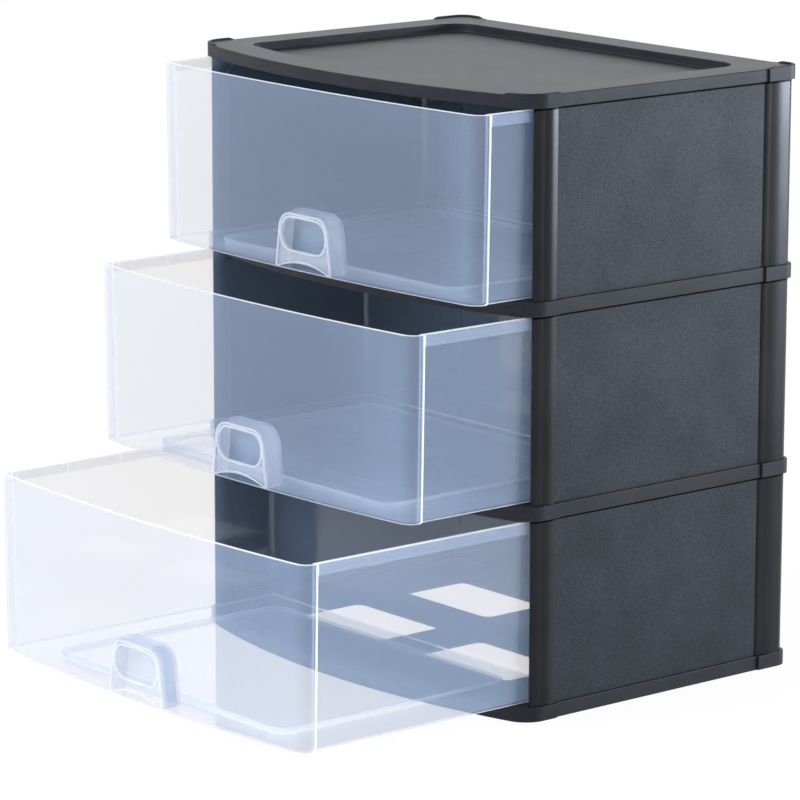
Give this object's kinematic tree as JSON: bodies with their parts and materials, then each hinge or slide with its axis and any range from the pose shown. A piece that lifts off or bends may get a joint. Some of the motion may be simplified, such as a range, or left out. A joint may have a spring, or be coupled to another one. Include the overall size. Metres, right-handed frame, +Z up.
{
  "type": "drawer tower",
  "caption": "Stacked plastic drawer tower: dark bowed frame with a tray top and clear sliding drawers with frosted finger pulls.",
  "frame": {"origin": "middle of the base, on the surface that the tower stands on, halfway between the front and rear corners of the frame", "axes": "+Z up, -Y the way the drawers pull out, +X to the right of someone who faces the drawers"},
  "size_m": [0.3872, 0.4758, 0.461],
  "materials": {
    "frame_plastic": "fine-grained charcoal",
    "post_plastic": "satin charcoal",
    "panel_plastic": "fine-grained charcoal",
    "clear_plastic": "clear, glossy",
    "frosted_plastic": "frosted"
  },
  "bodies": {
    "cabinet": {"base": "frame_plastic", "lower_shelf": "frame_plastic", "upper_shelf": "frame_plastic", "top_cover": "frame_plastic", "bottom_left_front_post": "post_plastic", "bottom_left_rear_post": "post_plastic", "bottom_left_panel": "panel_plastic", "bottom_right_front_post": "post_plastic", "bottom_right_rear_post": "post_plastic", "bottom_right_panel": "panel_plastic", "bottom_back_panel": "panel_plastic", "middle_left_front_post": "post_plastic", "middle_left_rear_post": "post_plastic", "middle_left_panel": "panel_plastic", "middle_right_front_post": "post_plastic", "middle_right_rear_post": "post_plastic", "middle_right_panel": "panel_plastic", "middle_back_panel": "panel_plastic", "top_left_front_post": "post_plastic", "top_left_rear_post": "post_plastic", "top_left_panel": "panel_plastic", "top_right_front_post": "post_plastic", "top_right_rear_post": "post_plastic", "top_right_panel": "panel_plastic", "top_back_panel": "panel_plastic"},
    "bottom_drawer_unit": {"bottom_drawer": "clear_plastic", "bottom_pull": "frosted_plastic"},
    "middle_drawer_unit": {"middle_drawer": "clear_plastic", "middle_pull": "frosted_plastic"},
    "top_drawer_unit": {"top_drawer": "clear_plastic", "top_pull": "frosted_plastic"}
  },
  "joints": [
    {"name": "bottom_drawer_slide", "type": "slide", "parent": "cabinet", "child": "bottom_drawer_unit", "axis": [0, -1, 0], "range_m": [-0.1975, 0.0125]},
    {"name": "middle_drawer_slide", "type": "slide", "parent": "cabinet", "child": "middle_drawer_unit", "axis": [0, -1, 0], "range_m": [-0.1015, 0.1085]},
    {"name": "top_drawer_slide", "type": "slide", "parent": "cabinet", "child": "top_drawer_unit", "axis": [0, -1, 0], "range_m": [-0.0415, 0.1685]}
  ]
}
